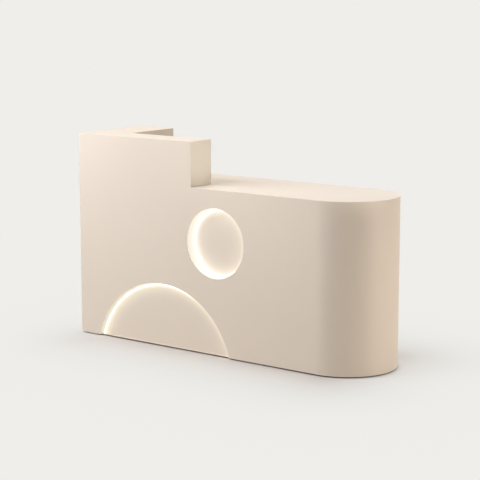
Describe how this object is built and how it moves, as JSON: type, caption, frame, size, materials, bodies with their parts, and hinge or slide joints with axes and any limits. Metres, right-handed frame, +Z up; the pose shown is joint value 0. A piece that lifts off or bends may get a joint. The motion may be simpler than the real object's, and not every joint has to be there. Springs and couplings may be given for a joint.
{
  "type": "reception desk",
  "caption": "Low reception counter with a half-round end, a raised L-shaped upstand, a lit round recess and a lit arch recess in front, and a kneehole, drawers and a cupboard behind.",
  "frame": {"origin": "on the floor, under the middle of the footprint", "axes": "+X along the length to the half-round end, +Y from the visitor side to the staff side, +Z up"},
  "size_m": [1.6, 0.46, 0.965],
  "materials": {
    "lacquer": "satin lacquer on fibreboard",
    "carcass_board": "matt faced board",
    "plywood": "clear-sealed birch plywood",
    "hardboard": "smooth painted hardboard",
    "zinc_steel": "bright zinc plating",
    "black_nylon": "matt moulded nylon",
    "white_nylon": "matt moulded nylon",
    "strip_board": "white flexible circuit strip",
    "opal_diffuser": "opal silicone, lit from behind",
    "driver_case": "anodised case",
    "cable_sheath": "flexible cable sheath",
    "switch_case": "polished moulding",
    "switch_paddle": "polished moulding",
    "pivot_brass": "turned brass",
    "grommet_plastic": "matt moulded plastic"
  },
  "bodies": {
    "desk": {"front_panel": "lacquer", "left_end_panel": "lacquer", "left_wall_rear_panel": "lacquer", "left_wall_inner_panel": "lacquer", "left_wall_base": "carcass_board", "left_wall_rib": "carcass_board", "ledge_top": "lacquer", "upstand_inner_panel": "lacquer", "upstand_end_cap": "lacquer", "upstand_ribs": "plywood", "worktop": "lacquer", "curved_end_shell": "lacquer", "kneehole_lining": "carcass_board", "front_base_rail": "carcass_board", "base_board": "carcass_board", "partition_left": "carcass_board", "partition_middle": "carcass_board", "wall_studs": "plywood", "cupboard_shelf": "carcass_board", "shelf_pins": "zinc_steel", "foot_pads": "black_nylon", "foot_studs": "zinc_steel", "round_recess_liner": "lacquer", "round_recess_disc": "lacquer", "round_recess_back": "plywood", "round_light_strip": "strip_board", "round_light_diffuser": "opal_diffuser", "arch_recess_liner": "lacquer", "arch_recess_panel": "lacquer", "arch_recess_back": "plywood", "arch_light_strip": "strip_board", "arch_light_diffuser": "opal_diffuser", "light_driver": "driver_case", "light_wiring": "cable_sheath", "cable_bush": "black_nylon", "switch_body": "switch_case", "drawer_runners": "white_nylon", "door_pivot_bushes": "white_nylon", "magnet_catch": "black_nylon", "grommet_ring": "grommet_plastic", "panel_screws": "zinc_steel", "recess_screws": "zinc_steel", "angle_brackets": "zinc_steel"},
    "drawer_1": {"drawer_1_front": "lacquer", "drawer_1_sides": "plywood", "drawer_1_back": "plywood", "drawer_1_bottom": "hardboard"},
    "drawer_2": {"drawer_2_front": "lacquer", "drawer_2_sides": "plywood", "drawer_2_back": "plywood", "drawer_2_bottom": "hardboard"},
    "drawer_3": {"drawer_3_front": "lacquer", "drawer_3_sides": "plywood", "drawer_3_back": "plywood", "drawer_3_bottom": "hardboard"},
    "door": {"cupboard_door": "lacquer", "door_pivot_pins": "pivot_brass", "strike_plate": "zinc_steel"},
    "rocker": {"switch_rocker": "switch_paddle"},
    "cap": {"grommet_cap": "grommet_plastic"}
  },
  "joints": [
    {"name": "drawer_1_slide", "type": "slide", "parent": "desk", "child": "drawer_1", "axis": [0, 1, 0], "range_m": [0, 0.21]},
    {"name": "drawer_2_slide", "type": "slide", "parent": "desk", "child": "drawer_2", "axis": [0, 1, 0], "range_m": [0, 0.21]},
    {"name": "drawer_3_slide", "type": "slide", "parent": "desk", "child": "drawer_3", "axis": [0, 1, 0], "range_m": [0, 0.21]},
    {"name": "door_pivot", "type": "hinge", "parent": "desk", "child": "door", "pos_m": [0.558, 0.221, 0.38], "axis": [0, 0, -1], "range_deg": [0, 100]},
    {"name": "switch_rock", "type": "hinge", "parent": "desk", "child": "rocker", "pos_m": [-0.604, 0.175, 0.69], "axis": [0, -1, 0], "range_deg": [0, 18]},
    {"name": "grommet_cap_turn", "type": "hinge", "parent": "desk", "child": "cap", "pos_m": [-0.53, -0.015, 0.76], "axis": [0, 0, 1], "continuous": true}
  ]
}
